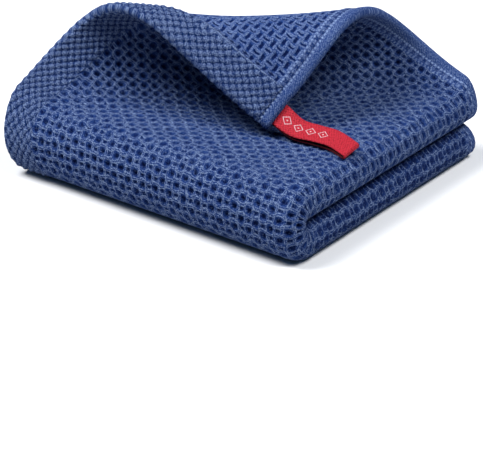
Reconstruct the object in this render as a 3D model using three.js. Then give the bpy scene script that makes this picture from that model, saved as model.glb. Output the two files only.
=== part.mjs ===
// Folded cotton dishcloth, millimetres, +Z up.
// A square waffle-weave cloth is folded in half twice. The free corner of its top layer is lifted,
// rolled forward over a soft ridge and dropped again, so that its hanging loop lies in front.
import * as THREE from 'three';

// Cloth as cut and hemmed: u runs across it from one woven border to the other, v from hem to hem
const CLOTH_WIDTH = 299;
const CLOTH_LENGTH = 320;
const CREASE_OFF_MIDDLE = { u: 1.1, v: 1.2 };
const CLOTH_THICKNESS = 4;
const HEM = { chamfer: 0.7, reach: 2 };
const BORDER_WIDTH = 16;

// Folded stack, seen in plan with the middle of the folded square as its origin. The front crease
// wraps the doubled cloth: its outer layer turns on the outer radius and its lining on the inner one.
const OUTER_RADIUS = 13.5;
const INNER_RADIUS = 2.6;
const OPEN_PITCH = 7.8;
const PUFF_REACH = 48;
const SIDE_CREASE_X = 70.6;
const FRONT_CREASE_Y = -70.9;
const TOP_WIDENING = 0.019;
const TOP_SHIFT = -3.2;
const SHEAR = -0.025;
const RIPPLE = { height: 0.9, reach: 38, waveX: 46, waveY: 57, phase: 0.8 };

// Rolled corner: the ridge runs across the folded square at this angle, and the stiff woven border
// stands a little higher over it than the waffle does
const RIDGE_ANGLE = THREE.MathUtils.degToRad(46.3);
const DROOP_ANGLE = THREE.MathUtils.degToRad(52.9);
const BORDER_RISE = 0.05;
// A row for each place along the ridge: where the cloth starts to lift, then its two bend radii
const ROLL_ROWS = [
  { along: -108, start: -14, rise: 29.5, crest: 10.5 },
  { along: -62, start: -16.8, rise: 29, crest: 14 },
  { along: -10, start: -12.2, rise: 21.4, crest: 20.4 },
  { along: 50, start: -11.7, rise: 21.7, crest: 23.9 },
  { along: 108, start: -22.8, rise: 31.6, crest: 24.6 },
];

// Hanging loop: a doubled woven tape that leaves the hem beside the corner
const TAPE_WIDTH = 10.5;
const TAPE_THICKNESS = 0.7;
const TAPE_FROM_BORDER = 7.5;
const SEAM_GAP = 0.3;
const SEAM_DROP = 0.8;
// A row for each place along the loop: its middle, the tilt and heading of its width, and how far
// its two tapes stand apart, middle to middle
const LOOP_ROWS = [
  { along: 10, x: 42.3, y: -30.8, z: 35, tilt: 25, heading: -5, opening: 1.4 },
  { along: 19, x: 51.1, y: -29.9, z: 34.6, tilt: 19, heading: -9, opening: 1.8 },
  { along: 28, x: 59.8, y: -29.6, z: 34.5, tilt: 18, heading: -6, opening: 2 },
  { along: 38.5, x: 69.7, y: -32.5, z: 33.7, tilt: 13, heading: 4, opening: 1.6 },
];
const LOOP_ROOT_OPENING = 1;

// Middle of the whole footprint in the folded square's frame, brought to the part's origin
const FOOTPRINT_MIDDLE = { x: 1.8, y: -8.6 };

const COLOURS = { cloth: 0x3d5796, loop: 0xc8323c };

const HALF_PI = Math.PI / 2;
const SIDE_RADIUS = (OUTER_RADIUS - INNER_RADIUS) / 2;
const MIDDLE_RADIUS = (OUTER_RADIUS + INNER_RADIUS) / 2;
const SIDE_ARC = SIDE_RADIUS * HALF_PI;
const FRONT_ARC = OUTER_RADIUS * HALF_PI;
const BORDER_EDGE = CLOTH_WIDTH / 2 + CREASE_OFF_MIDDLE.u;
const HEM_EDGE = CLOTH_LENGTH / 2 + CREASE_OFF_MIDDLE.v;

const { clamp, smoothstep, degToRad } = THREE.MathUtils;

// Value of one column of a table at a place along it, on a smooth curve through its rows
function columnAt(rows, name, along) {
  const last = rows.length - 1;
  const place = clamp(along, rows[0].along, rows[last].along);
  let k = 0;
  while (k < last - 1 && place >= rows[k + 1].along) k += 1;
  const slopeAt = (i) => {
    const before = rows[Math.max(i - 1, 0)];
    const after = rows[Math.min(i + 1, last)];
    return (after[name] - before[name]) / (after.along - before.along);
  };
  const span = rows[k + 1].along - rows[k].along;
  const s = (place - rows[k].along) / span;
  const r = 1 - s;
  const values = rows[k][name] * (1 + 2 * s) * r * r + rows[k + 1][name] * s * s * (3 - 2 * s);
  return values + span * (slopeAt(k) * s * r * r - slopeAt(k + 1) * s * s * r);
}

// Layers counted upwards, 0 for the lowest and 3 for the top one, from a height over mid-stack
function layerLevel(height) {
  const depth = Math.abs(height);
  if (depth < INNER_RADIUS) return 1.5 + height / (2 * INNER_RADIUS);
  return 1.5 + Math.sign(height) * (0.5 + (depth - INNER_RADIUS) / (2 * SIDE_RADIUS));
}

// Both creases: the side one doubles the cloth, the front one doubles it again.
// Layers stand furthest apart beside the creases and wave a little at the open edges.
function foldInQuarters(u, v) {
  const sideTurn = clamp(u / SIDE_RADIUS, -HALF_PI, HALF_PI);
  const square = SIDE_CREASE_X + SIDE_RADIUS * Math.cos(sideTurn) - Math.max(Math.abs(u) - SIDE_ARC, 0);
  const radius = MIDDLE_RADIUS + SIDE_RADIUS * Math.sin(sideTurn);
  const frontTurn = clamp(v / OUTER_RADIUS, -HALF_PI, HALF_PI);
  const y = FRONT_CREASE_Y - radius * Math.cos(frontTurn) + Math.max(Math.abs(v) - FRONT_ARC, 0);
  const height = radius * Math.sin(frontTurn);
  const lean = height / OUTER_RADIUS;
  const x = square * (1 + TOP_WIDENING * lean) + TOP_SHIFT * lean + SHEAR * (y - FRONT_CREASE_Y);

  const fromSide = Math.max(SIDE_CREASE_X - square, 0) / PUFF_REACH;
  const fromFront = Math.max(y - FRONT_CREASE_Y, 0) / PUFF_REACH;
  const puff = Math.max(Math.exp(-fromSide * fromSide), Math.exp(-fromFront * fromFront));
  const level = layerLevel(height);
  const stacked = level * OPEN_PITCH * (1 - puff) + (height + OUTER_RADIUS) * puff;

  const toBorder = smoothstep(-square, SIDE_CREASE_X - RIPPLE.reach, SIDE_CREASE_X);
  const toHem = smoothstep(y, -FRONT_CREASE_Y - RIPPLE.reach, -FRONT_CREASE_Y);
  const wave = toBorder * Math.sin((2 * Math.PI * y) / RIPPLE.waveY + RIPPLE.phase)
    + toHem * Math.sin((2 * Math.PI * x) / RIPPLE.waveX);
  const middleLayers = level * (3 - level) * 0.5;
  return { x, y, z: CLOTH_THICKNESS / 2 + stacked + RIPPLE.height * middleLayers * wave, lean };
}

// Shape of the rolled corner in the upright plane across the ridge: flat, then a wide bend up,
// then a tight bend over the crest, then straight down towards the tip
function rollProfile(across, along) {
  const start = columnAt(ROLL_ROWS, 'start', along);
  const rise = columnAt(ROLL_ROWS, 'rise', along);
  const crest = columnAt(ROLL_ROWS, 'crest', along);
  const riseLength = HALF_PI * rise;
  const crestLength = (HALF_PI + DROOP_ANGLE) * crest;
  const run = across - start;
  const riseTurn = clamp(run, 0, riseLength) / rise;
  const crestTurn = clamp(run - riseLength, 0, crestLength) / crest;
  const fall = Math.max(run - riseLength - crestLength, 0);
  return {
    across: Math.min(across, start) + rise * Math.sin(riseTurn)
      - crest * (1 - Math.cos(crestTurn)) - fall * Math.cos(DROOP_ANGLE),
    height: rise * (1 - Math.cos(riseTurn)) + crest * Math.sin(crestTurn)
      - fall * Math.sin(DROOP_ANGLE),
  };
}

// Middle of the cloth's thickness at cloth coordinates u, v
function clothPoint(u, v) {
  const folded = foldInQuarters(u, v);
  const onTop = smoothstep(folded.lean, 0.35, 1) * smoothstep(u, -0.2 * SIDE_ARC, SIDE_ARC);
  const cos = Math.cos(RIDGE_ANGLE);
  const sin = Math.sin(RIDGE_ANGLE);
  const along = folded.x * cos + folded.y * sin;
  const flat = folded.y * cos - folded.x * sin;
  const rolled = rollProfile(flat, along);
  const border = smoothstep(u, BORDER_EDGE - BORDER_WIDTH - 3, BORDER_EDGE - BORDER_WIDTH + 2);
  const across = flat + (rolled.across - flat) * onTop;
  const lift = rolled.height * onTop * (1 + BORDER_RISE * border);
  return new THREE.Vector3(along * cos - across * sin, along * sin + across * cos, folded.z + lift);
}

// Half thickness of the cloth, thinner at its very rim where the hem turns
function clothHalfThickness(u, v) {
  const toBorder = u > 0 ? BORDER_EDGE - u : CLOTH_WIDTH - BORDER_EDGE + u;
  const toHem = v > 0 ? HEM_EDGE - v : CLOTH_LENGTH - HEM_EDGE + v;
  const inside = smoothstep(Math.min(toBorder, toHem), -0.01, HEM.reach);
  return CLOTH_THICKNESS / 2 - HEM.chamfer * (1 - inside);
}

// Grid lines from a start value, each row giving how far the next stretch runs and in how many steps
function gridLines(from, rows) {
  const lines = [from];
  for (const { to, steps } of rows) {
    const start = lines[lines.length - 1];
    for (let i = 1; i <= steps; i += 1) lines.push(start + ((to - start) * i) / steps);
  }
  return lines;
}

// Closed sheet: the two skins of a surface over a grid, joined all round their rim
function sheetGeometry(surfaceAt, halfThicknessAt, uLines, vLines) {
  const step = 0.05;
  const positions = [];
  for (const side of [1, -1]) {
    for (const v of vLines) {
      for (const u of uLines) {
        const alongU = surfaceAt(u + step, v).sub(surfaceAt(u - step, v));
        const alongV = surfaceAt(u, v + step).sub(surfaceAt(u, v - step));
        const normal = alongU.cross(alongV).normalize();
        const skin = surfaceAt(u, v).addScaledVector(normal, side * halfThicknessAt(u, v));
        positions.push(skin.x, skin.y, skin.z);
      }
    }
  }
  const columns = uLines.length;
  const rows = vLines.length;
  const faces = [];
  const quad = (a, b, c, d) => faces.push(a, b, c, a, c, d);
  const at = (i, j, skin) => skin * columns * rows + j * columns + i;
  for (let j = 0; j < rows - 1; j += 1) {
    for (let i = 0; i < columns - 1; i += 1) {
      quad(at(i, j, 0), at(i + 1, j, 0), at(i + 1, j + 1, 0), at(i, j + 1, 0));
      quad(at(i, j, 1), at(i, j + 1, 1), at(i + 1, j + 1, 1), at(i + 1, j, 1));
    }
  }
  for (let i = 0; i < columns - 1; i += 1) {
    quad(at(i, 0, 0), at(i, 0, 1), at(i + 1, 0, 1), at(i + 1, 0, 0));
    quad(at(i + 1, rows - 1, 0), at(i + 1, rows - 1, 1), at(i, rows - 1, 1), at(i, rows - 1, 0));
  }
  for (let j = 0; j < rows - 1; j += 1) {
    quad(at(0, j + 1, 0), at(0, j + 1, 1), at(0, j, 1), at(0, j, 0));
    quad(at(columns - 1, j, 0), at(columns - 1, j, 1), at(columns - 1, j + 1, 1), at(columns - 1, j + 1, 0));
  }
  const geometry = new THREE.BufferGeometry();
  geometry.setAttribute('position', new THREE.Float32BufferAttribute(positions, 3));
  geometry.setIndex(faces);
  geometry.computeVertexNormals();
  return geometry;
}

function clothGeometry() {
  const uLines = gridLines(BORDER_EDGE - CLOTH_WIDTH, [
    { to: BORDER_EDGE - CLOTH_WIDTH + HEM.reach, steps: 1 },
    { to: BORDER_EDGE - CLOTH_WIDTH + BORDER_WIDTH, steps: 2 },
    { to: -SIDE_ARC, steps: 6 },
    { to: SIDE_ARC, steps: 8 },
    { to: 40, steps: 5 },
    { to: BORDER_EDGE - BORDER_WIDTH - 3, steps: 17 },
    { to: BORDER_EDGE - BORDER_WIDTH + 2, steps: 2 },
    { to: BORDER_EDGE - HEM.reach, steps: 2 },
    { to: BORDER_EDGE, steps: 1 },
  ]);
  const vLines = gridLines(HEM_EDGE - CLOTH_LENGTH, [
    { to: HEM_EDGE - CLOTH_LENGTH + HEM.reach, steps: 1 },
    { to: -FRONT_ARC, steps: 6 },
    { to: FRONT_ARC, steps: 12 },
    { to: 50, steps: 5 },
    { to: HEM_EDGE - HEM.reach, steps: 19 },
    { to: HEM_EDGE, steps: 1 },
  ]);
  return sheetGeometry(clothPoint, clothHalfThickness, uLines, vLines);
}

// The loop's stations: the root is taken from the hem that it is sewn into
function loopStations() {
  const seat = BORDER_EDGE - TAPE_FROM_BORDER;
  const root = clothPoint(seat, HEM_EDGE);
  const outward = root.clone().sub(clothPoint(seat, HEM_EDGE - 1)).normalize();
  const width = clothPoint(seat - 1, HEM_EDGE).sub(clothPoint(seat + 1, HEM_EDGE)).normalize();
  root.addScaledVector(outward, SEAM_GAP);
  root.addScaledVector(outward.clone().cross(width).normalize(), -SEAM_DROP);
  const first = {
    along: 0,
    x: root.x,
    y: root.y,
    z: root.z,
    tilt: THREE.MathUtils.radToDeg(Math.asin(width.z)),
    heading: THREE.MathUtils.radToDeg(Math.atan2(width.x, width.y)),
    opening: LOOP_ROOT_OPENING,
  };
  return [first, ...LOOP_ROWS];
}

// Middle of the tape at a place along its run, out on top and back underneath, and across its width
function loopSurface(stations) {
  const reach = stations[stations.length - 1].along;
  const bendRadius = stations[stations.length - 1].opening / 2;
  const bendLength = Math.PI * bendRadius;
  const middleAt = (along) => new THREE.Vector3(
    columnAt(stations, 'x', along),
    columnAt(stations, 'y', along),
    columnAt(stations, 'z', along),
  );
  const surfaceAt = (run, across) => {
    const out = clamp(run, 0, reach);
    const back = clamp(run - reach - bendLength, 0, reach);
    const along = out - back;
    const turn = clamp((run - reach) / bendRadius, 0, Math.PI);
    const tilt = degToRad(columnAt(stations, 'tilt', along));
    const heading = degToRad(columnAt(stations, 'heading', along));
    const width = new THREE.Vector3(
      Math.sin(heading) * Math.cos(tilt),
      Math.cos(heading) * Math.cos(tilt),
      Math.sin(tilt),
    );
    const ahead = middleAt(along + 0.5).sub(middleAt(along - 0.5)).normalize();
    const up = ahead.clone().cross(width).normalize();
    const stretch = (columnAt(stations, 'opening', along) / 2) * Math.cos(turn);
    return middleAt(along)
      .addScaledVector(up, stretch)
      .addScaledVector(ahead, bendRadius * Math.sin(turn))
      .addScaledVector(width, across);
  };
  return { surfaceAt, reach, bendLength };
}

function loopGeometry() {
  const { surfaceAt, reach, bendLength } = loopSurface(loopStations());
  const runLines = gridLines(0.05, [
    { to: reach, steps: 12 },
    { to: reach + bendLength, steps: 6 },
    { to: 2 * reach + bendLength - 0.05, steps: 12 },
  ]);
  const acrossLines = gridLines(-TAPE_WIDTH / 2, [{ to: TAPE_WIDTH / 2, steps: 4 }]);
  return sheetGeometry(surfaceAt, () => TAPE_THICKNESS / 2, runLines, acrossLines);
}

function namedMesh(name, geometry, colour, roughness) {
  const material = new THREE.MeshStandardMaterial({ color: colour, roughness, metalness: 0 });
  const mesh = new THREE.Mesh(geometry, material);
  mesh.name = name;
  return mesh;
}

const dishcloth = new THREE.Group();
dishcloth.add(namedMesh('cloth', clothGeometry(), COLOURS.cloth, 0.95));
dishcloth.add(namedMesh('hanging_loop', loopGeometry(), COLOURS.loop, 0.75));
dishcloth.position.set(-FOOTPRINT_MIDDLE.x, -FOOTPRINT_MIDDLE.y, 0);

export default dishcloth;
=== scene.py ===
import bpy
import numpy as np
from mathutils import Matrix, Vector


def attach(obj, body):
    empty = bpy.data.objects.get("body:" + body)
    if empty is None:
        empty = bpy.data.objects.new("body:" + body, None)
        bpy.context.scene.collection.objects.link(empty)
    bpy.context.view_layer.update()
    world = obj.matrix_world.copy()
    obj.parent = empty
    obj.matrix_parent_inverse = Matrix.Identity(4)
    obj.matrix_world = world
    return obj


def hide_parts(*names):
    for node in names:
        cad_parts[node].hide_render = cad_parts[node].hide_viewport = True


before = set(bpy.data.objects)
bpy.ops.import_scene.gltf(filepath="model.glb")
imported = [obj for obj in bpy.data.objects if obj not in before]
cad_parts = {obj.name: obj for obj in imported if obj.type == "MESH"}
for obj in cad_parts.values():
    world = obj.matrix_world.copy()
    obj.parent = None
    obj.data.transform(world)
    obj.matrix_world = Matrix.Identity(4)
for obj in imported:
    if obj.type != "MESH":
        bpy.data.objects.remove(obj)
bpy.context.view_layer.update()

scene = bpy.context.scene

# The camera looks down on the front corner of the folded square from a metre away, at the
# photograph's angle. Angles are in radians and lengths in metres. Its place and the cloth's are
# worked out from the middle of the square, and the part's origin lies FOOTPRINT_MIDDLE from that.
VIEW_AZIMUTH = 0.59171
VIEW_ELEVATION = 0.44249
VIEW_ROLL = 0.05223
VIEW_DISTANCE = 1.01217
VIEW_ACROSS = -0.003331
VIEW_UP = -0.032785
FOOTPRINT_MIDDLE = Vector((0.0018, -0.0086, 0))
FOCAL_PIXELS = 2272.88
PICTURE_WIDTH = 483

back = Vector((
    np.sin(VIEW_AZIMUTH) * np.cos(VIEW_ELEVATION),
    -np.cos(VIEW_AZIMUTH) * np.cos(VIEW_ELEVATION),
    np.sin(VIEW_ELEVATION),
))
right = Vector((np.cos(VIEW_AZIMUTH), np.sin(VIEW_AZIMUTH), 0))
up = back.cross(right)
camera = bpy.data.objects.new("camera", bpy.data.cameras.new("camera"))
turned = Matrix((right, up, back)).transposed() @ Matrix.Rotation(VIEW_ROLL, 3, "Z")
place = VIEW_DISTANCE * back + VIEW_ACROSS * right + VIEW_UP * up - FOOTPRINT_MIDDLE
camera.matrix_world = Matrix.Translation(place) @ turned.to_4x4()
camera.data.lens = FOCAL_PIXELS * camera.data.sensor_width / PICTURE_WIDTH
scene.collection.objects.link(camera)
scene.camera = camera


# The studio: a plain pale floor, a bluish room all round, and two large soft lamps. The key lamp
# stands at the left front and shines a little way under the rolled corner, the other at the right.
FLOOR_SIZE = 6
FLOOR_COLOUR = (0.68, 0.68, 0.68, 1)
ROOM_COLOUR = (0.3, 0.57, 1, 1)
ROOM_STRENGTH = 0.18
LAMPS = [
    {"name": "key", "at": (-0.65, -0.6, 1.3), "size": 0.7, "power": 40},
    {"name": "right_lamp", "at": (0.7, 0.05, 1.4), "size": 0.7, "power": 27.5},
]


def new_material(name, roughness, shine):
    """A material with its node tree and shader."""
    material = bpy.data.materials.new(name)
    material.use_nodes = True
    made = material.node_tree.nodes["Principled BSDF"]
    made.inputs["Roughness"].default_value = roughness
    made.inputs["Specular IOR Level"].default_value = shine
    return material, material.node_tree, made


bpy.ops.object.select_all(action="DESELECT")
bpy.ops.mesh.primitive_plane_add(size=FLOOR_SIZE)
floor = bpy.context.object
floor.name = "floor"
floor_material, _, floor_shader = new_material("floor_paint", 0.9, 0.1)
floor_shader.inputs["Base Color"].default_value = FLOOR_COLOUR
floor.data.materials.append(floor_material)

scene.world = bpy.data.worlds.new("room")
scene.world.use_nodes = True
room = scene.world.node_tree.nodes["Background"]
room.inputs["Color"].default_value = ROOM_COLOUR
room.inputs["Strength"].default_value = ROOM_STRENGTH
scene.view_settings.view_transform = "Standard"

for lamp in LAMPS:
    light = bpy.data.lights.new(lamp["name"], "AREA")
    light.size = lamp["size"]
    light.energy = lamp["power"]
    holder = bpy.data.objects.new(lamp["name"], light)
    aim = Vector(lamp["at"]).to_track_quat("Z", "Y")
    holder.matrix_world = Matrix.Translation(lamp["at"]) @ aim.to_matrix().to_4x4()
    scene.collection.objects.link(holder)


# The cloth: cotton in a waffle weave, with a dense basket-woven border along two sides and a
# stitched hem along the other two. It is folded in half twice, and the free corner of its top
# layer is rolled forward. Sizes here are in millimetres, u across the cloth and v from hem to hem.
MM = 0.001
CLOTH_WIDTH = 299
CLOTH_LENGTH = 320
HALF_THICKNESS = 2.0
BORDER_WIDTH = 16
HEM_WIDTH = 8.5
STITCHES_AT = 4.9
BEADS_AT = 8.0
PITS_U = 75
PITS_V = 85

# The creases lie at u = 0 and v = 0, a little off the cloth's middle. The four layers, from level 0
# to TOP_LEVEL, follow the creases' radii near them and lie OPEN_PITCH apart away from them.
MIDDLE_U = 1.1
MIDDLE_V = 1.2
OUTER_RADIUS = 13.5
INNER_RADIUS = 2.6
TOP_LEVEL = 3
OPEN_PITCH = 7.8
PUFF_REACH = 48
SIDE_CREASE_X = 70.6
FRONT_CREASE_Y = -70.9
TOP_WIDENING = 0.019
TOP_SHIFT = -3.2
SHEAR = -0.025
RIPPLE = {"height": 0.45, "reach": 38, "wave_x": 46, "wave_y": 57, "phase": 0.8}

# The roll, at places along its ridge: where it leaves the stack, the radius of its rise, and the
# radius of its crest, past which the corner droops straight
RIDGE_ANGLE = np.radians(46.3)
DROOP_ANGLE = np.radians(52.9)
ROLL_ROWS = {
    "along": (-108, -62, -10, 50, 108),
    "start": (-14, -16.8, -12.2, -11.7, -22.8),
    "rise": (29.5, 29, 21.4, 21.7, 31.6),
    "crest": (10.5, 14, 20.4, 23.9, 24.6),
}
ROLL_FROM_LEAN = 0.35
ROLL_FROM_SIDE = -0.2
BORDER_LIFT = 0.05
BORDER_LIFT_FROM = -3
BORDER_LIFT_TO = 2
NORMAL_STEP = 0.05

PITCH_U = (CLOTH_WIDTH - 2 * BORDER_WIDTH) / PITS_U
PITCH_V = (CLOTH_LENGTH - 2 * HEM_WIDTH) / PITS_V
BORDER_EDGE = CLOTH_WIDTH / 2 + MIDDLE_U
HEM_EDGE = CLOTH_LENGTH / 2 + MIDDLE_V
HALF_PI = np.pi / 2
SIDE_RADIUS = (OUTER_RADIUS - INNER_RADIUS) / 2
MIDDLE_RADIUS = (OUTER_RADIUS + INNER_RADIUS) / 2
SIDE_ARC = SIDE_RADIUS * HALF_PI
FRONT_ARC = OUTER_RADIUS * HALF_PI
RIDGE_COS, RIDGE_SIN = np.cos(RIDGE_ANGLE), np.sin(RIDGE_ANGLE)


def soft_step(x, low, high):
    """0 at low and 1 at high, with a soft start and end. Low may be the larger one."""
    t = np.clip((x - low) / (high - low), 0, 1)
    return t * t * (3 - 2 * t)


def column_at(rows, name, along):
    """One column of a table at places along it, on a smooth curve through its rows."""
    at = np.array(rows["along"], float)
    column = np.array(rows[name], float)
    before = np.maximum(np.arange(len(at)) - 1, 0)
    after = np.minimum(np.arange(len(at)) + 1, len(at) - 1)
    slopes = (column[after] - column[before]) / (at[after] - at[before])
    place = np.clip(along, at[0], at[-1])
    k = np.clip(np.searchsorted(at, place, side="right") - 1, 0, len(at) - 2)
    span = at[k + 1] - at[k]
    s = (place - at[k]) / span
    r = 1 - s
    values = column[k] * (1 + 2 * s) * r * r + column[k + 1] * s * s * (3 - 2 * s)
    return values + span * (slopes[k] * s * r * r - slopes[k + 1] * s * s * r)


def fold_in_quarters(u, v):
    """Place of the cloth's middle after both creases: x, y, z and the lean, 1 in the top layer."""
    side_turn = np.clip(u / SIDE_RADIUS, -HALF_PI, HALF_PI)
    beyond_side = np.maximum(np.abs(u) - SIDE_ARC, 0)
    square = SIDE_CREASE_X + SIDE_RADIUS * np.cos(side_turn) - beyond_side
    radius = MIDDLE_RADIUS + SIDE_RADIUS * np.sin(side_turn)
    front_turn = np.clip(v / OUTER_RADIUS, -HALF_PI, HALF_PI)
    beyond_front = np.maximum(np.abs(v) - FRONT_ARC, 0)
    y = FRONT_CREASE_Y - radius * np.cos(front_turn) + beyond_front
    height = radius * np.sin(front_turn)
    lean = height / OUTER_RADIUS
    x = square * (1 + TOP_WIDENING * lean) + TOP_SHIFT * lean + SHEAR * (y - FRONT_CREASE_Y)

    from_side = np.maximum(SIDE_CREASE_X - square, 0) / PUFF_REACH
    from_front = np.maximum(y - FRONT_CREASE_Y, 0) / PUFF_REACH
    puff = np.maximum(np.exp(-from_side ** 2), np.exp(-from_front ** 2))
    depth = np.abs(height)
    outer = 0.5 + (depth - INNER_RADIUS) / (2 * SIDE_RADIUS)
    inner = depth / (2 * INNER_RADIUS)
    level = TOP_LEVEL / 2 + np.sign(height) * np.where(depth < INNER_RADIUS, inner, outer)
    stacked = level * OPEN_PITCH * (1 - puff) + (height + OUTER_RADIUS) * puff

    to_border = soft_step(-square, SIDE_CREASE_X - RIPPLE["reach"], SIDE_CREASE_X)
    to_hem = soft_step(y, -FRONT_CREASE_Y - RIPPLE["reach"], -FRONT_CREASE_Y)
    wave = to_border * np.sin(2 * np.pi * y / RIPPLE["wave_y"] + RIPPLE["phase"])
    wave = wave + to_hem * np.sin(2 * np.pi * x / RIPPLE["wave_x"])
    ripple = RIPPLE["height"] * level * (TOP_LEVEL - level) * wave
    return x, y, HALF_THICKNESS + stacked + ripple, lean


def ridge_frame(x, y):
    """Coordinates along the roll's ridge and across it."""
    return x * RIDGE_COS + y * RIDGE_SIN, y * RIDGE_COS - x * RIDGE_SIN


def cloth_middle(u, v):
    """Middle of the cloth's thickness at cloth coordinates u, v."""
    x, y, z, lean = fold_in_quarters(u, v)
    along, flat = ridge_frame(x, y)
    start, rise, crest = (column_at(ROLL_ROWS, name, along) for name in ("start", "rise", "crest"))
    rise_length = HALF_PI * rise
    crest_length = (HALF_PI + DROOP_ANGLE) * crest
    run = flat - start
    rise_turn = np.clip(run, 0, rise_length) / rise
    crest_turn = np.clip(run - rise_length, 0, crest_length) / crest
    fall = np.maximum(run - rise_length - crest_length, 0)
    rolled = np.minimum(flat, start) + rise * np.sin(rise_turn)
    rolled = rolled - crest * (1 - np.cos(crest_turn)) - fall * np.cos(DROOP_ANGLE)
    lift = rise * (1 - np.cos(rise_turn)) + crest * np.sin(crest_turn) - fall * np.sin(DROOP_ANGLE)

    on_top = soft_step(lean, ROLL_FROM_LEAN, 1) * soft_step(u / SIDE_ARC, ROLL_FROM_SIDE, 1)
    on_border = soft_step(u - BORDER_EDGE + BORDER_WIDTH, BORDER_LIFT_FROM, BORDER_LIFT_TO)
    across = flat + (rolled - flat) * on_top
    z = z + lift * on_top * (1 + BORDER_LIFT * on_border)
    x = along * RIDGE_COS - across * RIDGE_SIN
    y = along * RIDGE_SIN + across * RIDGE_COS
    return np.stack([x, y, z], -1)


def unit(vectors):
    """The same directions, each of length 1."""
    return vectors / np.linalg.norm(vectors, axis=-1, keepdims=True)


def surface_normal(surface, a, b):
    """Unit normal of a surface that a function gives by two coordinates."""
    along_a = surface(a + NORMAL_STEP, b) - surface(a - NORMAL_STEP, b)
    along_b = surface(a, b + NORMAL_STEP) - surface(a, b - NORMAL_STEP)
    return unit(np.cross(along_a, along_b))


# The weave repeats on a square lattice of pits, deep and shallow in turn. Lattice coordinates p, q
# count them, with a pit's middle at whole numbers. Four mesh lines run through each: two beside
# the ridge and two on the pit's floor. The pits are a little wider than they are high.
LINES_P = (-0.36, -0.13, 0.13, 0.36)
LINES_Q = (-0.31, -0.10, 0.10, 0.31)
CELL = len(LINES_P)
BORDER_CELLS = 5
HEM_CELLS = 3
WAFFLE_START = 0.7
WEAVE_SWAY = 0.04
LOOSE_BY = 0.35
LOOSE_CELLS = 1.9
UNEVEN_BY = 0.2
UNEVEN_CELLS = 1.7

# Heights and depths over a skin, and how far from a pit's middle the back's long pits reach
FACE_RISE = 0.3
DEEP_PIT = 1.7
SHALLOW_PIT = 1.0
CROSSWISE_PIT = 0.9
LENGTHWISE_PIT = 0.72
LONG_P = (0.44, 0.30)
LONG_Q = (0.41, 0.24)
BUMP_U = 3.58
BUMP_V = 4.2
BUMP_HEIGHT = 1.3
BUMPS_PAST_WAFFLE = (0, -1.5)
BUMPS_PAST_HEM = (5, 6)
GROOVE = {"at": STITCHES_AT, "half": 0.6, "height": -0.45}
BEAD_ROW = {"at": BEADS_AT, "half": 0.7, "height": 0.35}
CORD = {"at": -0.3, "half": 0.6, "height": 0.25}
EDGE_HALF = 1.0
EDGE_ROUNDING = 2.0
EDGE_BULGE = 0.5
EDGE_SCALLOP = 0.2


def lattice_lines(pits, cell_lines, pitch, margin, cells):
    """Mesh lines in lattice coordinates: a plain margin, the pits, and the other margin."""
    width = margin / pitch
    plain = np.linspace(0, width, CELL * cells + 1)
    pit_lines = (np.arange(pits)[:, None] + np.array(cell_lines)).ravel()
    return np.concatenate([plain[:-1] - 0.5 - width, pit_lines, plain + pits - 0.5])


def soft_line(distance, line):
    """Height of a raised or sunken line that runs along an edge."""
    return np.exp(-((distance - line["at"]) / line["half"]) ** 2) * line["height"]


p_lines = lattice_lines(PITS_U, LINES_P, PITCH_U, BORDER_WIDTH, BORDER_CELLS)
q_lines = lattice_lines(PITS_V, LINES_Q, PITCH_V, HEM_WIDTH, HEM_CELLS)
p, q = np.meshgrid(p_lines, q_lines)
p_near, q_near = np.round(p), np.round(q)
p_off, q_off = np.abs(p - p_near), np.abs(q - q_near)
deep = (p_near + q_near) % 2 == 0
from_middle_u = (p - (PITS_U - 1) / 2) * PITCH_U
from_middle_v = (q - (PITS_V - 1) / 2) * PITCH_V
inside_border = PITS_U / 2 * PITCH_U - np.abs(from_middle_u)
inside_hem = PITS_V / 2 * PITCH_V - np.abs(from_middle_v)
in_waffle = soft_step(np.minimum(inside_border, inside_hem), 0, WAFFLE_START * PITCH_U)

rng = np.random.default_rng(11)


def loose_field(spacing):
    """A smooth random field over the lattice, from -1 to 1, whose hills are some cells wide."""
    row, column = (q - q.min()) / spacing, (p - p.min()) / spacing
    knots = rng.uniform(-1, 1, (int(row.max()) + 2, int(column.max()) + 2))
    j, i = row.astype(int), column.astype(int)
    b, a = soft_step(row - j, 0, 1), soft_step(column - i, 0, 1)
    low = knots[j, i] * (1 - a) + knots[j, i + 1] * a
    high = knots[j + 1, i] * (1 - a) + knots[j + 1, i + 1] * a
    return low * (1 - b) + high * b


sway_u = WEAVE_SWAY * PITCH_U * np.cos(np.pi * q) * np.sin(np.pi * p)
sway_v = WEAVE_SWAY * PITCH_V * np.cos(np.pi * p) * np.sin(np.pi * q)
u = MIDDLE_U + from_middle_u + (sway_u + LOOSE_BY * loose_field(LOOSE_CELLS)) * in_waffle
v = MIDDLE_V + from_middle_v + (sway_v + LOOSE_BY * loose_field(LOOSE_CELLS)) * in_waffle
uneven = 1 + UNEVEN_BY * loose_field(UNEVEN_CELLS)

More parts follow.
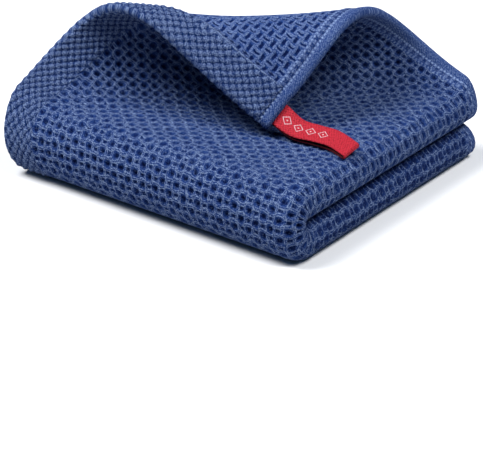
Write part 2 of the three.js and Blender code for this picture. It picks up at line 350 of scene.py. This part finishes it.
# Height of each side over its skin: the waffle's square pits, the back's long ones that lie
# crosswise in turn, the border's staggered bumps, and the hem's grooves
floor_p, floor_q = soft_step(-p_off, *LINES_P[:2]), soft_step(-q_off, *LINES_Q[:2])
long_p, long_q = soft_step(p_off, *LONG_P), soft_step(q_off, *LONG_Q)
face_pit = floor_p * floor_q * np.where(deep, DEEP_PIT, SHALLOW_PIT) * uneven
crosswise, lengthwise = CROSSWISE_PIT * long_p * floor_q, LENGTHWISE_PIT * floor_p * long_q
back_pit = np.where(deep, crosswise, lengthwise) * uneven
from_hem_edge = inside_hem + HEM_WIDTH
turn_u, turn_v = np.pi * inside_border / BUMP_U, np.pi * q * PITCH_V / BUMP_V
border_bumps = (np.abs(np.cos(turn_u + turn_v)) + np.abs(np.cos(turn_u - turn_v))) / 2
in_border = soft_step(inside_border, *BUMPS_PAST_WAFFLE) * soft_step(from_hem_edge, *BUMPS_PAST_HEM)
common = BUMP_HEIGHT * (border_bumps - 0.5) * in_border + soft_line(from_hem_edge, GROOVE)
back_lines = soft_line(from_hem_edge, BEAD_ROW) + soft_line(inside_border, CORD)
face_height = FACE_RISE + common - face_pit * in_waffle
back_height = FACE_RISE + common - back_pit * in_waffle + back_lines
to_edge = np.minimum(inside_border + BORDER_WIDTH, from_hem_edge)
rounding = np.sqrt(1 - (1 - np.clip(to_edge / EDGE_ROUNDING, 0, 1)) ** 2)
half = EDGE_HALF + (HALF_THICKNESS - EDGE_HALF) * rounding

# The normal points from the waffle side of the cloth to its back
middle = cloth_middle(u, v)
normal = surface_normal(cloth_middle, u, v)
face_skin = middle - (half + face_height * rounding)[..., None] * normal
back_skin = middle + (half + back_height * rounding)[..., None] * normal

# Where the mesh needs its finest cells: the top layer and the outsides of the creases on the
# waffle side, and what the roll bares on the back. Inside the stack one face does for a cell.
FINE, HALF_FINE, COARSE = 1, 2, 4
ROLL_MARGIN = 8
EDGE_MARGIN = 6
SIDE_MARGIN = 4
CREASE_MARGIN = 2


def cell_steps(face):
    """Mesh lines per face in each cell of the lattice."""
    cell_u, cell_v = u[:-1:CELL, :-1:CELL], v[:-1:CELL, :-1:CELL]
    x, y, _, lean = fold_in_quarters(cell_u, cell_v)
    along, flat = ridge_frame(x, y)
    bared = flat > column_at(ROLL_ROWS, "start", along) - ROLL_MARGIN
    steps = np.full(cell_u.shape, COARSE)
    near_edge = np.abs(cell_u - MIDDLE_U) > CLOTH_WIDTH / 2 - BORDER_WIDTH - EDGE_MARGIN
    near_edge |= np.abs(cell_v - MIDDLE_V) > CLOTH_LENGTH / 2 - HEM_WIDTH - EDGE_MARGIN
    steps[near_edge] = HALF_FINE
    if face:
        steps[np.abs(cell_u) < SIDE_ARC + SIDE_MARGIN] = HALF_FINE
        past_side = cell_u > -SIDE_ARC - CREASE_MARGIN
        past_front = cell_v > -FRONT_ARC - CREASE_MARGIN
        steps[past_side & past_front] = FINE
    else:
        steps[(cell_u < 0) & (cell_v > 0) & bared] = HALF_FINE
        steps[(cell_u > 0) & (cell_v > 0) & bared] = FINE
    return steps


steps_face, steps_back = cell_steps(True), cell_steps(False)
ring = np.ones(steps_face.shape, bool)
ring[1:-1, 1:-1] = False
steps_face[ring] = steps_back[ring] = np.minimum(steps_face, steps_back)[ring]


def used_lines(steps):
    """Which crossings of the mesh lines carry a vertex."""
    used = np.zeros(p.shape, bool)
    for j, i in np.ndindex(steps.shape):
        s = steps[j, i]
        used[CELL * j:CELL * j + CELL + 1:s, CELL * i:CELL * i + CELL + 1:s] = True
    return used


def skin_faces(steps, used, number, flip):
    """Faces over one skin. A large face also takes in the vertices of its finer neighbours."""
    skin = []
    for j, i in np.ndindex(steps.shape):
        s = steps[j, i]
        for b in range(CELL * j, CELL * j + CELL, s):
            for a in range(CELL * i, CELL * i + CELL, s):
                walk = [(b, a + k) for k in range(s)] + [(b + k, a + s) for k in range(s)]
                walk += [(b + s, a + s - k) for k in range(s)] + [(b + s - k, a) for k in range(s)]
                face = [number[c] for c in walk if used[c]]
                skin.append(face[::-1] if flip else face)
    return skin


def walk_round(last_row, last_column):
    """Crossings of a grid's lines along its four edges, once round."""
    walk = [(0, i) for i in range(last_column)]
    walk += [(j, last_column) for j in range(last_row)]
    walk += [(last_row, i) for i in range(last_column, 0, -1)]
    walk += [(j, 0) for j in range(last_row, 0, -1)]
    return walk


def ring_faces(first, second):
    """Faces that join two rings of vertices."""
    return np.stack([first, np.roll(first, -1), np.roll(second, -1), second], -1).tolist()


def new_piece(name, vertices, faces, places, sides):
    """A smooth piece from places in millimetres. Its UV map holds its weave's coordinates, and
    face_side is 1 on the face of the cloth it is made of and 0 on its reverse."""
    mesh = bpy.data.meshes.new(name)
    mesh.from_pydata(((vertices - np.array(FOOTPRINT_MIDDLE) / MM) * MM).tolist(), [], faces)
    mesh.polygons.foreach_set("use_smooth", [True] * len(mesh.polygons))
    corner = np.zeros(len(mesh.loops), int)
    mesh.loops.foreach_get("vertex_index", corner)
    mesh.uv_layers.new(name="weave").data.foreach_set("uv", places[corner].ravel())
    mesh.attributes.new("face_side", "FLOAT", "POINT").data.foreach_set("value", sides)
    piece = bpy.data.objects.new(name, mesh)
    scene.collection.objects.link(piece)
    return piece


used_face, used_back = used_lines(steps_face), used_lines(steps_back)
number_face, number_back = np.zeros(p.shape, int), np.zeros(p.shape, int)
number_face[used_face] = np.arange(used_face.sum())
number_back[used_back] = used_face.sum() + np.arange(used_back.sum())

# The rim joins both skins round a softly rounded and slightly scalloped edge
last_row, last_column = p.shape[0] - 1, p.shape[1] - 1
edge = tuple(np.array([c for c in walk_round(last_row, last_column) if used_face[c]]).T)
inner = np.clip(edge[0], 1, last_row - 1), np.clip(edge[1], 1, last_column - 1)
bulge = EDGE_BULGE + EDGE_SCALLOP * np.sin(2 * turn_v[edge])
rim = middle[edge] + bulge[:, None] * unit(middle[edge] - middle[inner])
number_rim = used_face.sum() + used_back.sum() + np.arange(len(rim))

faces = skin_faces(steps_face, used_face, number_face, True)
faces += skin_faces(steps_back, used_back, number_back, False)
faces += ring_faces(number_face[edge], number_rim)
faces += ring_faces(number_rim, number_back[edge])
vertices = np.concatenate([face_skin[used_face], back_skin[used_back], rim])
vertices[:, 2] = np.maximum(vertices[:, 2], 0)
lattice = np.stack([p, q], -1)
lattice = np.concatenate([lattice[used_face], lattice[used_back], lattice[edge]])
sides = np.repeat((1.0, 0.0, 0.5), (used_face.sum(), used_back.sum(), len(rim)))
cloth = new_piece("cloth_waffle", vertices, faces, lattice, sides)

# Dyed cotton, its yarns painted lighter on the ridges and floats as painted light, with painted
# shade near-black blue in the pits. Two strands with a painted-shade line between them follow each
# ridge of the waffle side. On the back they follow the floats. Places count lattice cells, in pairs
# for a deep pit and a shallow one, and millimetres in the hem.
PIT_SHADE_COLOUR = (0.0006, 0.0045, 0.036, 1)
# Painted shade and painted light: a shaded and a lit copy of the yarns' blue
YARN_SHADE = (0.006, 0.023, 0.105, 1)
YARN_LIT = (0.176, 0.238, 0.390, 1)
YARN_RELIEF = 0.0004
YARN_SWAY = 0.36
FUZZ_SCALE = 7
DRIFT_SCALE = 0.22
LOOSE_SCALE = 1.1
STREAK_ACROSS = 10
STREAK_ALONG = 2.5
PIT_HALF_P = (0.33, 0.26)
PIT_HALF_Q = (0.29, 0.20)
PIT_SQUARENESS = 2.1
MIDDLE_THREAD = (0.15, 0.65)
STRAND_AT = 0.40
INNER_STRAND_AT = 0.26
STRAND_HALF = 0.07
STRAND_BOW = (0.06, -0.06)
BACK_STRAND_AT = (0.36, 0.28)
BACK_PIT_HALF = (0.19, 0.15)
BACK_PIT_END = (0.39, 0.43)
TWILL_PITCH = 0.3
RUNG_PITCH = 1
BEAD_PITCH = 0.5
FOLD_ENDS = (4.6, 5.2)
RUNGS_START = (5.2, 5.6)
CHANNEL_AT = 5.9
BORDER_STARTS = (5.0, 5.8)
CORD_LINE = (-0.1, 0.14, 0.04)


class Wire:
    """A value on its way through a material. Python's signs add Math nodes to it."""

    def __init__(self, tree, socket):
        self.tree = tree
        self.socket = socket

    @staticmethod
    def node(tree, kind, settings, values, output=0):
        """Any node: its settings first, then what its inputs hold or are joined to."""
        made = tree.nodes.new(kind)
        for name, setting in settings.items():
            setattr(made, name, setting)
        for name, value in values.items():
            if isinstance(value, Wire):
                tree.links.new(value.socket, made.inputs[name])
            else:
                made.inputs[name].default_value = value
        return Wire(tree, made.outputs[output])

    def maths(self, operation, *others):
        values = dict(enumerate((self, *others)))
        return Wire.node(self.tree, "ShaderNodeMath", {"operation": operation}, values)

    def __add__(self, other):
        return self.maths("ADD", other)

    def __sub__(self, other):
        return self.maths("SUBTRACT", other)

    def __rsub__(self, other):
        return self * -1 + other

    def __mul__(self, other):
        return self.maths("MULTIPLY", other)

    def __abs__(self):
        return self.maths("ABSOLUTE")

    __radd__ = __add__
    __rmul__ = __mul__

    def step(self, low, high):
        """0 at low and 1 at high, with a soft start and end."""
        settings = {"interpolation_type": "SMOOTHSTEP"}
        values = {"Value": self, "From Min": low, "From Max": high}
        return Wire.node(self.tree, "ShaderNodeMapRange", settings, values)

    def near(self, place, reach, full=0):
        """1 up to a distance full from a place, falling to 0 at the distance reach."""
        return abs(self - place).step(reach, full)

    def waves(self, pitch):
        """Soft waves from 0 to 1, with a crest at each whole number of pitches."""
        return (self * (2 * np.pi / pitch)).maths("COSINE") * 0.5 + 0.5

    def blend(self, first, second):
        """First value where this one is 0, second where it is 1."""
        return (second - first) * self + first

    def noise(self, scale, detail, output="Fac"):
        values = {"Vector": self, "Scale": scale, "Detail": detail}
        return Wire.node(self.tree, "ShaderNodeTexNoise", {}, values, output)

    def parts(self, kind):
        """The three values of a vector or of a colour."""
        split = Wire.node(self.tree, kind, {}, {0: self}).socket.node
        return [Wire(self.tree, socket) for socket in split.outputs]


def mix_colours(factor, first, second):
    """First colour where the factor is 0, second where it is 1."""
    values = {0: factor, 6: first, 7: second}
    return Wire.node(factor.tree, "ShaderNodeMix", {"data_type": "RGBA"}, values, 2)


def read_weave(tree):
    """A piece's places on its weave, as a vector and two values, and where its face side is."""
    places = Wire.node(tree, "ShaderNodeUVMap", {"uv_map": "weave"}, {})
    side = Wire.node(tree, "ShaderNodeAttribute", {"attribute_name": "face_side"}, {}, "Fac")
    return places, *places.parts("ShaderNodeSeparateXYZ")[:2], side


def dress(shader, colour, height, depth, strength):
    """Joins a weave's colour and the fine relief of its yarns to the shader."""
    values = {"Height": height, "Distance": depth, "Strength": strength}
    relief = Wire.node(colour.tree, "ShaderNodeBump", {}, values)
    colour.tree.links.new(colour.socket, shader.inputs["Base Color"])
    colour.tree.links.new(relief.socket, shader.inputs["Normal"])


def threads(weave, stretch):
    """Fine threads that run one way over the weave, from 0 to 1."""
    values = {0: weave, 1: stretch}
    pulled = Wire.node(weave.tree, "ShaderNodeVectorMath", {"operation": "MULTIPLY"}, values)
    return pulled.noise(1, 1).step(0.34, 0.66)


cotton, tree, shader = new_material("waffle_cotton", 0.9, 0.06)
weave, weave_p, weave_q, on_face = read_weave(tree)
side_border = PITS_U / 2 - abs(weave_p - (PITS_U - 1) / 2)
side_hem = PITS_V / 2 - abs(weave_q - (PITS_V - 1) / 2)
waffle_p, waffle_q = side_border.step(-0.05, 0.1), side_hem.step(-0.05, 0.1)

fuzz = weave.noise(FUZZ_SCALE, 3).step(0.3, 0.7) - 0.5
drift = weave.noise(DRIFT_SCALE, 2) - 0.5
loose = weave.noise(LOOSE_SCALE, 1, "Color").parts("ShaderNodeSeparateColor")
sway_p, sway_q, swell = (part - 0.5 for part in loose)
streak_p = threads(weave, (STREAK_ALONG, STREAK_ACROSS, 1))
streak_q = threads(weave, (STREAK_ACROSS, STREAK_ALONG, 1))
crossing = streak_p.maths("MAXIMUM", streak_q).maths("POWER", 3)
loose_p, loose_q = weave_p + sway_p * YARN_SWAY, weave_q + sway_q * YARN_SWAY
cell_p, cell_q = loose_p.maths("ROUND"), loose_q.maths("ROUND")
off_p, off_q = abs(loose_p - cell_p), abs(loose_q - cell_q)
shallow = (cell_p + cell_q).maths("PINGPONG", 1)

# The waffle side: painted shade in the pits, less where a thread runs up the middle of the shallow
# ones, and bowed strands
far_p = off_p.maths("DIVIDE", shallow.blend(*PIT_HALF_P)).maths("POWER", PIT_SQUARENESS)
far_q = off_q.maths("DIVIDE", shallow.blend(*PIT_HALF_Q)).maths("POWER", PIT_SQUARENESS)
from_pit = far_p + far_q + (streak_p + streak_q - 1) * 0.5 + fuzz * 0.4 + swell * 1.2
face_pit_shade = from_pit.step(1.7, 0.1) * (1 - crossing * 0.45)
face_pit_shade = face_pit_shade * (1 - off_p.step(0.09, 0.02) * shallow.blend(*MIDDLE_THREAD))
ragged = fuzz * 0.1 + STRAND_AT
bow = shallow.blend(*STRAND_BOW)
line_p = off_p.near(ragged + bow * (off_q * np.pi).maths("COSINE"), STRAND_HALF)
line_q = off_q.near(ragged + bow * (off_p * np.pi).maths("COSINE"), STRAND_HALF)
line_q = line_q.maths("MAXIMUM", off_q.near(INNER_STRAND_AT, STRAND_HALF) * shallow)
face_strands = (line_q * (streak_p * 0.9 + 0.4)).maths("MAXIMUM", line_p * (streak_q * 0.9 + 0.4))
face_strands = face_strands + (crossing - 0.35) * 0.4

# The back: painted shade in a long pit between two double strands, crosswise and lengthwise in
# turn, a painted-shade line inside each double strand, and a row of dark dashes beside the border
float_off = shallow.blend(off_q, off_p) + fuzz * 0.05
float_end = shallow.blend(off_p, off_q) - (streak_p - 0.5) * 0.1
strand_at = shallow.blend(*BACK_STRAND_AT)
back_strands = float_off.near(strand_at, 0.20, 0.04) * (1 - float_off.near(strand_at, 0.06) * 0.6)
back_pit_shade_and_dashes = (shallow.blend(*BACK_PIT_HALF) - float_off).step(-0.03, 0.06) * (1 - crossing * 0.3)
back_pit_shade_and_dashes = back_pit_shade_and_dashes * (shallow.blend(*BACK_PIT_END) - float_end).step(-0.02, 0.06)
edge_dash = side_border.step(0.1, 0.25) * side_border.step(0.95, 0.75) * off_q.step(0.3, 0.1)
back_pit_shade_and_dashes = back_pit_shade_and_dashes.maths("MAXIMUM", edge_dash * 0.9)

# The border: soft bumps with painted light on their tops and faint painted shade in the gaps,
# fading at the rim
slant_u = (side_border + swell * 0.5) * (np.pi * PITCH_U / BUMP_U)
slant_v = loose_q * (np.pi * PITCH_V / BUMP_V)
rising = abs((slant_u + slant_v).maths("COSINE"))
falling = abs((slant_u - slant_v).maths("COSINE"))
puff = (rising + falling) * 0.5 + fuzz * 0.3
bumps = puff.step(0.3, 0.95) * 0.45 + crossing * 0.25 + 0.04
bump_gap_shade = (falling + fuzz * 0.3).step(0.5, 0.05) * 0.55 + rising.step(0.35, 0.05) * 0.3
bump_gap_shade = bump_gap_shade * puff.step(0.7, 0.35) * (side_border * PITCH_U + BORDER_WIDTH).step(0.3, 2.0)

# The hem: a folded edge, a row of stitches, an open channel with rungs, and a row of beads
from_edge = side_hem * PITCH_V + HEM_WIDTH
rungs = weave_p.waves(RUNG_PITCH).step(0.2, 0.7)
beads = weave_p.waves(BEAD_PITCH)
stitch_row = from_edge.near(STITCHES_AT, 0.7, 0.2)
bead_row = from_edge.near(BEADS_AT, 0.8, 0.3)
fold = (weave_p + from_edge * 0.25).waves(TWILL_PITCH) * 0.3 + crossing * 0.35
channel = rungs * 0.25 + crossing * 0.4
# Painted shade in the open channel between the rungs and along its middle
hem_channel_shade = (1 - rungs) * from_edge.step(*RUNGS_START) * 0.3
hem_channel_shade = hem_channel_shade + from_edge.near(CHANNEL_AT, 0.6, 0.1) * 0.25
hem = stitch_row.blend(from_edge.step(*FOLD_ENDS).blend(fold, channel), beads * 0.6 + 0.35)
hem = bead_row.blend(hem, beads * 0.5 + 0.35 - on_face * 0.2)

# In the border the hem keeps its folded edge alone, up to the row of stitches
border_q = from_edge.step(*BORDER_STARTS)
border = border_q.blend(stitch_row.blend(fold, beads * 0.9 + 0.1), bumps)

# All together: the yarns' painted light and shade, the painted shade in pits and gaps with the dark
# dashes, and how far they stand up
strands = on_face.blend(back_strands * 0.55 + crossing * 0.15, face_strands)
weft = waffle_p.blend(border, waffle_q.blend(hem, strands))
cord = side_border.near(*CORD_LINE) * waffle_q
weft = weft.maths("MAXIMUM", cord * (1 - on_face) * 0.8)
# Painted shade: the pits, the gaps between the border's bumps and the hem's channel go towards
# near-black blue, as do the back's dark dashes
painted_shade_and_dashes = waffle_q.blend(hem_channel_shade * (1 - bead_row), on_face.blend(back_pit_shade_and_dashes, face_pit_shade))
painted_shade_and_dashes = waffle_p.blend(bump_gap_shade * border_q, painted_shade_and_dashes)
level = weft * 0.95 - 0.12 + fuzz * 0.6 + drift * 0.25
# Painted light and shade: yarns go from the shaded to the lit copy where they stand up, with random
# fuzz and drift
lit = mix_colours(level.step(-0.1, 1.1), YARN_SHADE, YARN_LIT)
relief_height = weft * 0.8 + fuzz * 0.3 + puff * (1 - waffle_p) * border_q * 3
dress(shader, mix_colours(painted_shade_and_dashes, lit, PIT_SHADE_COLOUR), relief_height, YARN_RELIEF, 0.9)
cloth.data.materials.append(cotton)

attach(cloth, "root")
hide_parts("cloth")


# The hanging loop: a doubled red woven tape that is sewn into the hem beside the free corner.
# It lies flat over the waffle, with a plain woven pattern of small diamonds along its middle.
TAPE_WIDTH = 10.5
TAPE_THICKNESS = 0.7
TAPE_FROM_BORDER = 7.5
SEAM_GAP = 0.3
SEAM_DROP = 0.8
ROOT_OPENING = 1
ROOT_END = 0.05
RUN_FACES = 60
BEND_FACES = 8
WIDTH_FACES = 16
SELVAGE_RISE = 0.25
SELVAGE_BAND = (1.4, 0.5)
EDGE_THINNING = 0.5
THIN_BAND = (0.4, 0)

# Places of the doubled tape from its root to its end, its tilt and heading in degrees, and how far
# apart the middles of its two layers are
LOOP_ROWS = {
    "along": (10, 19, 28, 38.5),
    "x": (42.3, 51.1, 59.8, 69.7),
    "y": (-30.8, -29.9, -29.6, -32.5),
    "z": (35, 34.6, 34.5, 33.7),
    "tilt": (25, 19, 18, 13),
    "heading": (-5, -9, -6, 4),
    "opening": (1.4, 1.8, 2, 1.6),
}

seat = BORDER_EDGE - TAPE_FROM_BORDER
root = cloth_middle(seat, HEM_EDGE)
outward = unit(root - cloth_middle(seat, HEM_EDGE - 1))
width = unit(cloth_middle(seat - 1, HEM_EDGE) - cloth_middle(seat + 1, HEM_EDGE))
above = unit(np.cross(outward, width))
root = root + SEAM_GAP * outward - SEAM_DROP * above
first_row = {
    "along": 0,
    "x": root[0],
    "y": root[1],
    "z": root[2],
    "tilt": np.degrees(np.arcsin(width[2])),
    "heading": np.degrees(np.arctan2(width[0], width[1])),
    "opening": ROOT_OPENING,
}
stations = {name: (first_row[name], *column) for name, column in LOOP_ROWS.items()}
reach = stations["along"][-1]
bend_radius = stations["opening"][-1] / 2
bend_length = np.pi * bend_radius


def tape_run(along):
    """Place between the two layers of the tape."""
    return np.stack([column_at(stations, name, along) for name in ("x", "y", "z")], -1)


def tape_middle(run, across):
    """Middle of the tape, out on top, round the end and back underneath."""
    back_run = np.clip(run - reach - bend_length, 0, reach)
    along = np.clip(run, 0, reach) - back_run
    turn = np.clip((run - reach) / bend_radius, 0, np.pi)
    tilt = np.radians(column_at(stations, "tilt", along))
    heading = np.radians(column_at(stations, "heading", along))
    flat = np.cos(tilt)
    wide = np.stack([np.sin(heading) * flat, np.cos(heading) * flat, np.sin(tilt)], -1)
    ahead = unit(tape_run(along + 0.5) - tape_run(along - 0.5))
    lift = unit(np.cross(ahead, wide))
    stretch = (column_at(stations, "opening", along) / 2 * np.cos(turn))[..., None] * lift
    tip = (bend_radius * np.sin(turn))[..., None] * ahead
    return tape_run(along) + stretch + tip + across[..., None] * wide


run_lines = np.concatenate([
    np.linspace(ROOT_END, reach, RUN_FACES + 1)[:-1],
    np.linspace(reach, reach + bend_length, BEND_FACES + 1)[:-1],
    np.linspace(reach + bend_length, 2 * reach + bend_length - ROOT_END, RUN_FACES + 1),
])
across_lines = np.linspace(-TAPE_WIDTH / 2, TAPE_WIDTH / 2, WIDTH_FACES + 1)
run, across = np.meshgrid(run_lines, across_lines)
to_selvage = TAPE_WIDTH / 2 - np.abs(across)
tape_half = TAPE_THICKNESS / 2 * (1 + SELVAGE_RISE * soft_step(to_selvage, *SELVAGE_BAND))
tape_half = tape_half * (1 - EDGE_THINNING * soft_step(to_selvage, *THIN_BAND))
tape_lift = tape_half[..., None] * surface_normal(tape_middle, run, across)
tape_centre = tape_middle(run, across)


def grid_faces(number):
    """Faces over a grid of vertices."""
    corners = [number[:-1, :-1], number[:-1, 1:], number[1:, 1:], number[1:, :-1]]
    return np.stack(corners, -1).reshape(-1, 4).tolist()


outer, reverse = np.arange(2 * run.size).reshape(2, *run.shape)
tape_edge = tuple(np.array(walk_round(WIDTH_FACES, len(run_lines) - 1)).T)
tape_faces = grid_faces(outer) + grid_faces(reverse.T)
tape_faces += ring_faces(reverse[tape_edge], outer[tape_edge])
tape_vertices = np.stack([tape_centre + tape_lift, tape_centre - tape_lift]).reshape(-1, 3)
tape_places = np.tile(np.stack([run.ravel(), across.ravel()], -1), (2, 1))
tape_sides = np.repeat((1.0, 0.0), run.size)
tape = new_piece("hanging_tape", tape_vertices, tape_faces, tape_places, tape_sides)

TAPE_RED = (0.36, 0.015, 0.028, 1)
TAPE_SHADE = (0.14, 0.003, 0.008, 1)
TAPE_WHITE = (0.50, 0.34, 0.36, 1)
# Painted shade: the tape's inner side, which lies in shadow inside the loop, is near-black
TAPE_INNER_SHADE = (0.045, 0.004, 0.006, 1)
TAPE_RELIEF = 0.0003
RIB_PITCH = 1.25
WARP_PITCH = 1.1
DIAMOND_FIRST = 4.5
DIAMOND_PITCH = 6.0
DIAMOND_HALF = 2.3
DIAMOND_SQUASH = 1.15
DIAMONDS = 4

red_tape, tree, shader = new_material("red_tape", 0.6, 0.1)
tape_weave, along, sideways, on_face = read_weave(tree)
ribs = (along + sideways * 0.5).waves(RIB_PITCH)
warp = (sideways - along * 0.5).waves(WARP_PITCH)
grain = tape_weave.noise(1.4, 3)
nearest = ((along - DIAMOND_FIRST) * (1 / DIAMOND_PITCH)).maths("ROUND")
nearest = nearest.maths("MAXIMUM", 0).maths("MINIMUM", DIAMONDS - 1)
from_diamond = abs(along - DIAMOND_FIRST - nearest * DIAMOND_PITCH) + abs(sideways) * DIAMOND_SQUASH
outline = from_diamond.near(DIAMOND_HALF, 0.37, 0.13)
mark = outline.maths("MAXIMUM", from_diamond.step(0.65, 0.35)) * along.maths("LESS_THAN", reach)
red = mix_colours(ribs * warp * 0.6 + grain.step(0.3, 0.6) * 0.65, TAPE_SHADE, TAPE_RED)
red = mix_colours(mark * (0.6 + ribs * 0.4), red, TAPE_WHITE)
tape_relief = ribs * 0.5 + warp * 0.5 + grain * 0.6 + mark * 0.5
# The inner side takes the painted-shade colour, the outer side the woven red
dress(shader, mix_colours(on_face, TAPE_INNER_SHADE, red), tape_relief, TAPE_RELIEF, 0.8)
tape.data.materials.append(red_tape)

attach(tape, "root")
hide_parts("hanging_loop")
